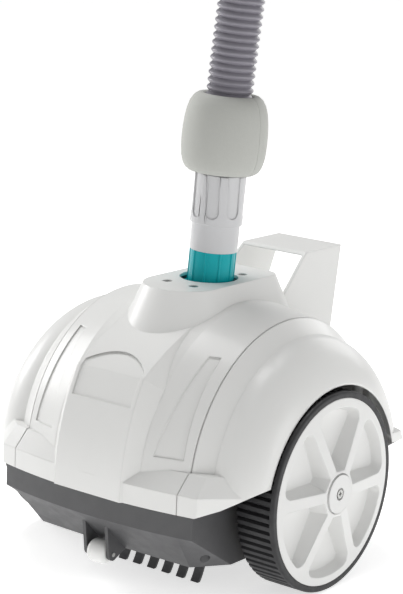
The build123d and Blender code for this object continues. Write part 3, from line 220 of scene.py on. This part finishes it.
def closed_cell_foam(low, high):
    """Closed-cell foam with a moulded skin: matte, with fine cells that show as a soft mottle."""
    material, tree, shader, place = new_finish("closed_cell_foam", IOR=1.45, Sheen_Weight=0.08)
    drifting_colour(tree, shader, place, low, high, 3.0)
    varied_roughness(tree, shader, place, 0.66, 0.8, 8.0)
    cells = add_node(tree, "ShaderNodeTexVoronoi", {"Vector": place}, Scale=1 / (1.4 * MM))
    bump = add_node(tree, "ShaderNodeBump", {"Height": cells.outputs["Distance"]}, Distance=0.05 * MM)
    tree.links.new(bump.outputs["Normal"], shader.inputs["Normal"])
    return material


def blown_polyethylene(low, high):
    """Blow-moulded polyethylene hose: waxy, slightly see-through at its crests, with a soft shine."""
    material, tree, shader, place = new_finish("blown_polyethylene", IOR=1.51, Subsurface_Weight=0.05)
    shader.inputs["Subsurface Radius"].default_value = (2 * MM, 2 * MM, 2 * MM)
    drifting_colour(tree, shader, place, low, high, 24.0)
    varied_roughness(tree, shader, place, 0.3, 0.42, 9.0)
    surface_grain(tree, shader, place, 2.2, 0.03)
    return material


def turned_stainless():
    """Turned stainless steel: fine rings from the lathe across a bright grey."""
    material, tree, shader, place = new_finish("turned_stainless", Metallic=1.0)
    drifting_colour(tree, shader, place, "a8a8a6", "c4c4c2", 4.0)
    varied_roughness(tree, shader, place, 0.22, 0.36, 1.2)
    surface_grain(tree, shader, place, 0.4, 0.01, 0.3)
    return material


def coated_iron():
    """Cast iron under a thin black coat: a rough sand-cast skin that stays dull."""
    material, tree, shader, place = new_finish("coated_iron", Metallic=0.6)
    drifting_colour(tree, shader, place, "2c2c2d", "3a3a3a", 7.0)
    varied_roughness(tree, shader, place, 0.6, 0.8, 3.0)
    surface_grain(tree, shader, place, 1.5, 0.25, 0.6)
    return material


def dress(name_slot):
    """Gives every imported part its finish, by the material slot that the record names."""
    slots = {part["node"]: part["material_slot"] for part in frame["record"]["subparts"]}
    for part_name, part in frame["nodes"].items():
        part.data.materials.clear()
        part.data.materials.append(name_slot[slots[part_name]])


# ---------------------------------------------------------------- shapes


def link_piece(name, mesh, body, finish):
    """Links a mesh as a piece that rides on a body and carries one finish."""
    piece = bpy.data.objects.new(name, mesh)
    bpy.context.scene.collection.objects.link(piece)
    mesh.materials.clear()
    mesh.materials.append(finish)
    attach(piece, body)
    return piece


def to_mesh(name, shape, crease_degrees=35.0):
    """Turns a bmesh into a mesh, shaded smooth but for edges sharper than the crease."""
    shape.normal_update()
    for edge in shape.edges:
        edge.smooth = edge.calc_face_angle(0.0) < math.radians(crease_degrees)
    for face in shape.faces:
        face.smooth = True
    mesh = bpy.data.meshes.new(name)
    shape.to_mesh(mesh)
    shape.free()
    return mesh


def soft_edge(piece, radius_mm, crease_degrees):
    """Rounds a piece's creases, as the mould leaves them."""
    bevel = piece.modifiers.new("mould radius", "BEVEL")
    bevel.width = radius_mm * MM
    bevel.segments = 3
    bevel.limit_method = "ANGLE"
    bevel.angle_limit = math.radians(crease_degrees)
    bevel.use_clamp_overlap = False
    bevel.harden_normals = True


def node_copy(part_name, new_name, body, radius_mm, crease_degrees=30.0):
    """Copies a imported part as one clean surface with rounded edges, and stands for it."""
    part = frame["nodes"][part_name]
    shape = bmesh.new()
    shape.from_mesh(part.data)
    bmesh.ops.remove_doubles(shape, verts=shape.verts, dist=0.002 * MM)
    bmesh.ops.dissolve_limit(
        shape, angle_limit=math.radians(0.4), verts=shape.verts, edges=shape.edges)
    mesh = to_mesh(new_name, shape, crease_degrees)
    piece = link_piece(new_name, mesh, body, part.data.materials[0])
    soft_edge(piece, radius_mm, crease_degrees)
    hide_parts(part_name)


def route_points(route_mm, step_mm):
    """Reads evenly spaced points and directions from the route's smooth spline."""
    curve = bpy.data.curves.new("hose_route", "CURVE")
    curve.dimensions = "3D"
    spline = curve.splines.new("NURBS")
    spline.points.add(len(route_mm) - 1)
    for point, place in zip(spline.points, route_mm):
        point.co = (*(Vector(place) * MM), 1.0)
    spline.order_u = 3
    spline.use_endpoint_u = True
    spline.resolution_u = 64
    holder = bpy.data.objects.new("hose_route", curve)
    bpy.context.scene.collection.objects.link(holder)
    bpy.context.view_layer.update()
    line = bpy.data.meshes.new_from_object(holder)
    fine = [vertex.co.copy() for vertex in line.vertices]
    bpy.data.objects.remove(holder)
    bpy.data.meshes.remove(line)
    far = [0.0]
    for before, after in zip(fine, fine[1:]):
        far.append(far[-1] + (after - before).length)
    count = round(far[-1] / (step_mm * MM))
    points = []
    here = 0
    for i in range(count + 1):
        along = far[-1] * i / count
        while here < len(far) - 2 and far[here + 1] < along:
            here += 1
        share = (along - far[here]) / (far[here + 1] - far[here])
        points.append(fine[here].lerp(fine[here + 1], share))
    return points, far[-1]


def ringed_tube(name, points, radii, segments):
    """Makes a round tube through the points, a ring at each, with a radius for each."""
    shape = bmesh.new()
    last = None
    for i, (point, radius) in enumerate(zip(points, radii)):
        ahead = points[min(i + 1, len(points) - 1)] - points[max(i - 1, 0)]
        turn = UP.rotation_difference(ahead.normalized()).to_matrix().to_4x4()
        ring = bmesh.ops.create_circle(
            shape, segments=segments, radius=radius, matrix=Matrix.Translation(point) @ turn)
        edges = list(dict.fromkeys(edge for vert in ring["verts"] for edge in vert.link_edges))
        if last:
            bmesh.ops.bridge_loops(shape, edges=last + edges)
        last = edges
    bmesh.ops.recalc_face_normals(shape, faces=shape.faces)
    return to_mesh(name, shape, 80.0)


# ---------------------------------------------------------------- user values


class CleanerSizes(bpy.types.PropertyGroup):
    """Sizes that shape the visible pieces."""

    handle_radius: bpy.props.FloatProperty(
        name="Handle edge radius", description="Rounding of the handle's edges, in millimetres",
        default=1.0, min=0.2, max=4.0)
    hose_pitch: bpy.props.FloatProperty(
        name="Hose rib pitch", description="Distance between the hose's ribs, in millimetres",
        default=6.6, min=3.0, max=12.0)
    hose_crest: bpy.props.FloatProperty(
        name="Hose crest radius", description="Outer radius of the hose, in millimetres",
        default=21.0, min=15.0, max=30.0)
    hose_root: bpy.props.FloatProperty(
        name="Hose root radius", description="Radius between the hose's ribs, in millimetres",
        default=18.3, min=12.0, max=28.0)
    tyre_ribs: bpy.props.IntProperty(
        name="Tyre ribs", description="Number of ribs round a tyre", default=75, min=20, max=120)
    tyre_groove: bpy.props.FloatProperty(
        name="Tyre groove depth", description="Depth between the tyre's ribs, in millimetres",
        default=3.0, min=0.5, max=5.0)


class CleanerColours(bpy.types.PropertyGroup):
    """Colours of the finishes, as sRGB hex values."""

    shell: bpy.props.StringProperty(
        name="Shell", description="Colour of the covers and handle", default="e9e9e7")
    wheel: bpy.props.StringProperty(
        name="Wheel", description="Colour of the wheel discs", default="e2e2e0")
    chassis: bpy.props.StringProperty(
        name="Chassis", description="Colour of the chassis and comb", default="515153")
    outlet: bpy.props.StringProperty(
        name="Outlet", description="Colour of the outlet tube", default="00aeb6")
    float_foam: bpy.props.StringProperty(
        name="Float", description="Colour of the float", default="b8b9b4")
    hose: bpy.props.StringProperty(
        name="Hose", description="Colour of the hose", default="85828b")


def shade(hex_colour, factor):
    """Makes a hex colour lighter or darker by a factor."""
    channels = [int(hex_colour[i:i + 2], 16) for i in (0, 2, 4)]
    return "".join(f"{max(0, min(255, round(c * factor))):02x}" for c in channels)


# ---------------------------------------------------------------- operators


class CLEANER_OT_stage(bpy.types.Operator):
    """Sets the camera, the pale floor and the soft studio lights"""

    bl_idname = "cleaner.stage"
    bl_label = "Stage"

    def execute(self, context):
        scene = context.scene
        lens = bpy.data.cameras.new("camera")
        lens.lens = CAMERA_LENS
        lens.sensor_width = 36.0
        lens.clip_start = 0.05
        lens.clip_end = 100.0
        camera = bpy.data.objects.new("camera", lens)
        axes = Matrix((CAMERA_RIGHT, CAMERA_UP, CAMERA_BACK)).transposed().to_4x4()
        camera.matrix_world = Matrix.Translation(CAMERA_PLACE) @ axes
        scene.collection.objects.link(camera)
        scene.camera = camera

        floor_shape = bmesh.new()
        bmesh.ops.create_grid(floor_shape, x_segments=4, y_segments=4, size=FLOOR_HALF)
        floor = bpy.data.objects.new("floor", to_mesh("floor", floor_shape))
        scene.collection.objects.link(floor)
        paper, tree, shader, place = new_finish("studio_paper", Roughness=0.9)
        # Seamless paper: matte, a touch warmer in broad patches.
        drifting_colour(tree, shader, place, "fafafa", "fdfdfc", 900.0)
        # Lit from beneath like a light table, so that no dark shadow lies under the machine
        shader.inputs["Emission Color"].default_value = (1.0, 1.0, 1.0, 1.0)
        shader.inputs["Emission Strength"].default_value = FLOOR_GLOW
        floor.data.materials.append(paper)

        world = bpy.data.worlds.new("studio")
        world.use_nodes = True
        sky = world.node_tree.nodes["Background"]
        sky.inputs["Color"].default_value = (1.0, 1.0, 1.0, 1.0)
        sky.inputs["Strength"].default_value = WORLD_STRENGTH
        scene.world = world
        scene.view_settings.view_transform = "Standard"

        for name, spot, size, power in SOFTBOXES:
            light = bpy.data.lights.new(name + "_softbox", "AREA")
            light.shape = "SQUARE"
            light.size = size
            light.energy = power
            holder = bpy.data.objects.new(name + "_softbox", light)
            holder.location = spot
            holder.rotation_euler = (LIGHT_TARGET - spot).to_track_quat("-Z", "Y").to_euler()
            scene.collection.objects.link(holder)
        return {"FINISHED"}


class CLEANER_OT_hose(bpy.types.Operator):
    """Makes the ribbed leader hose that rises from the float"""

    bl_idname = "cleaner.hose"
    bl_label = "Hose"

    def execute(self, context):
        sizes = context.scene.cleaner_sizes
        points, length = route_points(HOSE_ROUTE, sizes.hose_pitch / RINGS_PER_RIB)
        rise = sizes.hose_crest - sizes.hose_root
        radii = []
        for i in range(len(points)):
            wave = 0.5 - 0.5 * math.cos(2 * math.pi * i / RINGS_PER_RIB)
            radii.append((sizes.hose_root + rise * wave ** RIB_FULLNESS) * MM)
        mesh = ringed_tube("hose", points, radii, HOSE_SEGMENTS)
        hose = link_piece("hose", mesh, "outlet", FINISHES["hose_plastic"])
        wall = hose.modifiers.new("wall", "SOLIDIFY")
        wall.thickness = HOSE_WALL * MM
        wall.offset = -1.0
        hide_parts("leader_hose")
        return {"FINISHED"}


class CLEANER_OT_handle(bpy.types.Operator):
    """Rounds the moulded edges of the carrying handle"""

    bl_idname = "cleaner.handle"
    bl_label = "Handle"

    def execute(self, context):
        radius = context.scene.cleaner_sizes.handle_radius
        node_copy("carry_handle", "carrying_handle", "base", radius)
        return {"FINISHED"}


class CLEANER_OT_tyres(bpy.types.Operator):
    """Makes the two ribbed tyres, with a plain ring at each outer shoulder"""

    bl_idname = "cleaner.tyres"
    bl_label = "Tyres"

    def execute(self, context):
        sizes = context.scene.cleaner_sizes
        near, far = TYRE_X
        bore = TYRE_BORE_R
        # Place along the axle and radius, from the inner shoulder to the outer one
        section = (
            (near, bore), (near, 87.0), (near, 89.0), (near + 0.5, 89.7), (near + 1.6, 90.0),
            (near + 13.0, 90.0), (far - 13.0, 90.0), (far - 4.6, 90.0), (far - TYRE_RING, 90.0),
            (far - 1.6, 90.0), (far - 0.6, 89.6), (far, 88.6), (far, 87.2), (far, bore),
        )
        for side, sign in (("left", 1), ("right", -1)):
            shape = bmesh.new()
            verts = [
                shape.verts.new((sign * x * MM, AXLE.y * MM, (AXLE.z + r) * MM)) for x, r in section]
            edges = [shape.edges.new(pair) for pair in zip(verts, verts[1:] + verts[:1])]
            bmesh.ops.spin(
                shape, geom=verts + edges, cent=AXLE * MM, axis=(1, 0, 0), angle=2 * math.pi,
                steps=sizes.tyre_ribs * STEPS_PER_RIB, use_merge=True)
            bmesh.ops.remove_doubles(shape, verts=shape.verts, dist=0.005 * MM)
            for vert in shape.verts:
                offset = Vector((0, vert.co.y, vert.co.z)) - AXLE * MM
                radius = offset.length / MM
                if radius < bore + 0.5:
                    continue
                turn = math.atan2(offset.y, offset.z) * sizes.tyre_ribs
                valley = max(0.0, math.cos(turn)) ** GROOVE_SHARPNESS
                # The ribs stop short of the plain ring, and fade out towards the bore
                ring = max(0.0, min(1.0, far - TYRE_RING - abs(vert.co.x) / MM))
                share = ring * min(1.0, (radius - bore) / GROOVE_RUN_OUT)
                vert.co -= offset.normalized() * sizes.tyre_groove * valley * share * MM
            bmesh.ops.recalc_face_normals(shape, faces=shape.faces)
            mesh = to_mesh(side + "_ribbed_tyre", shape, 50.0)
            piece = link_piece(
                side + "_ribbed_tyre", mesh, side + "_wheel", FINISHES["tyre_rubber"])
            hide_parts(side + "_tyre")
        return {"FINISHED"}


class CLEANER_OT_float(bpy.types.Operator):
    """Makes the two halves of the foam float round the foot of the hose, and the cuff at its end"""

    bl_idname = "cleaner.float"
    bl_label = "Float"

    def execute(self, context):
        stack = Matrix.Translation(PIVOT * MM) @ STACK_TURN
        halves = (
            ("float_front", 0.0, "float_right_half"),
            ("float_rear", math.pi, "float_left_half"),
        )
        for name, turn, stands_for in halves:
            shape = bmesh.new()
            loop = [shape.verts.new((r * MM, 0.0, h * MM)) for r, h in FLOAT_OUTLINE]
            edges = [shape.edges.new(pair) for pair in zip(loop, loop[1:] + loop[:1])]
            spun = bmesh.ops.spin(
                shape, geom=loop + edges, cent=(0, 0, 0), axis=(0, 0, -1), angle=math.pi, steps=48)
            last = [part for part in spun["geom_last"] if isinstance(part, bmesh.types.BMEdge)]
            for end in (edges, last):
                bmesh.ops.contextual_create(shape, geom=end)
            bmesh.ops.recalc_face_normals(shape, faces=shape.faces)
            seam = [edge for edge in shape.edges if edge.calc_face_angle(0.0) > math.radians(60)]
            bmesh.ops.bevel(
                shape, geom=seam, offset=FLOAT_SEAM * MM, segments=2, profile=0.5,
                affect="EDGES", material=-1)
            half_turn = Matrix.Rotation(turn, 4, "Z")
            bmesh.ops.transform(shape, matrix=stack @ half_turn, verts=shape.verts)
            piece = link_piece(
                name, to_mesh(name, shape, 50.0), "outlet", FINISHES["float_foam"])
            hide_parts(stands_for)
        node_copy("hose_cuff", "soft_cuff", "outlet", CUFF_RADIUS, FINE_CREASE)
        return {"FINISHED"}


class CLEANER_OT_fittings(bpy.types.Operator):
    """Rounds the edges of the wheels, caps, connector, outlet, comb and roller"""

    bl_idname = "cleaner.fittings"
    bl_label = "Fittings"

    def execute(self, context):
        for part_name, new_name, body, radius in ROUNDED_PARTS:
            node_copy(part_name, new_name, body, radius, FINE_CREASE)
        return {"FINISHED"}


class CLEANER_PT_panel(bpy.types.Panel):
    """Lists the pieces of the pool cleaner"""

    bl_label = "Pool Cleaner"
    bl_idname = "CLEANER_PT_panel"
    bl_space_type = "VIEW_3D"
    bl_region_type = "UI"
    bl_category = "Pool Cleaner"

    def draw(self, context):
        for operator in OPERATORS:
            self.layout.operator(operator.bl_idname)
        for group in (context.scene.cleaner_sizes, context.scene.cleaner_colours):
            for name in group.__annotations__:
                self.layout.prop(group, name)


OPERATORS = (
    CLEANER_OT_stage,
    CLEANER_OT_float,
    CLEANER_OT_hose,
    CLEANER_OT_handle,
    CLEANER_OT_tyres,
    CLEANER_OT_fittings,
)
CLASSES = (CleanerSizes, CleanerColours) + OPERATORS + (CLEANER_PT_panel,)
FINISHES = {}


def make_finishes(colours):
    """Makes every finish once, by the record's material slot."""
    shell = colours.shell
    wheel = colours.wheel
    chassis = colours.chassis
    outlet = colours.outlet
    FINISHES["white_abs"] = moulded_abs(
        "moulded_white_abs", shade(shell, 0.985), shell, 0.36, 1.6)
    FINISHES["wheel_plastic"] = moulded_abs(
        "moulded_wheel_abs", shade(wheel, 0.98), wheel, 0.34, 1.0)
    FINISHES["teal_plastic"] = moulded_abs(
        "moulded_teal_abs", shade(outlet, 0.96), outlet, 0.3, 0.6, coat=0.0, specular=0.2)
    FINISHES["connector_plastic"] = moulded_abs(
        "moulded_connector_abs", "c6c6c8", "cececf", 0.3, 0.8)
    FINISHES["roller_plastic"] = moulded_abs(
        "moulded_roller_acetal", "ededeb", "f2f2f0", 0.25, 0.8)
    FINISHES["case_plastic"] = moulded_abs("moulded_grey_abs", "636365", "6b6b6c", 0.4, 0.8)
    FINISHES["gear_nylon"] = moulded_abs("natural_nylon", "ddd8cc", "e6e1d4", 0.38, 0.3)
    FINISHES["dark_plastic"] = grained_polypropylene(
        "grained_polypropylene", shade(chassis, 0.92), chassis)
    FINISHES["tyre_rubber"] = vulcanised_rubber()
    FINISHES["float_foam"] = closed_cell_foam(
        shade(colours.float_foam, 0.98), colours.float_foam)
    FINISHES["hose_plastic"] = blown_polyethylene(shade(colours.hose, 0.96), colours.hose)
    FINISHES["steel"] = turned_stainless()
    FINISHES["ballast_iron"] = coated_iron()
    dress(FINISHES)


def register():
    """Registers the classes and the user's values."""
    for cls in CLASSES:
        bpy.utils.register_class(cls)
    bpy.types.Scene.cleaner_sizes = bpy.props.PointerProperty(type=CleanerSizes)
    bpy.types.Scene.cleaner_colours = bpy.props.PointerProperty(type=CleanerColours)


def unregister():
    """Removes the classes and the user's values."""
    del bpy.types.Scene.cleaner_sizes
    del bpy.types.Scene.cleaner_colours
    for cls in reversed(CLASSES):
        bpy.utils.unregister_class(cls)


def main():
    """Builds every piece in order."""
    register()
    make_finishes(bpy.context.scene.cleaner_colours)
    bpy.ops.cleaner.stage()
    bpy.ops.cleaner.float()
    bpy.ops.cleaner.hose()
    bpy.ops.cleaner.handle()
    bpy.ops.cleaner.tyres()
    bpy.ops.cleaner.fittings()


if __name__ == "__main__":
    main()
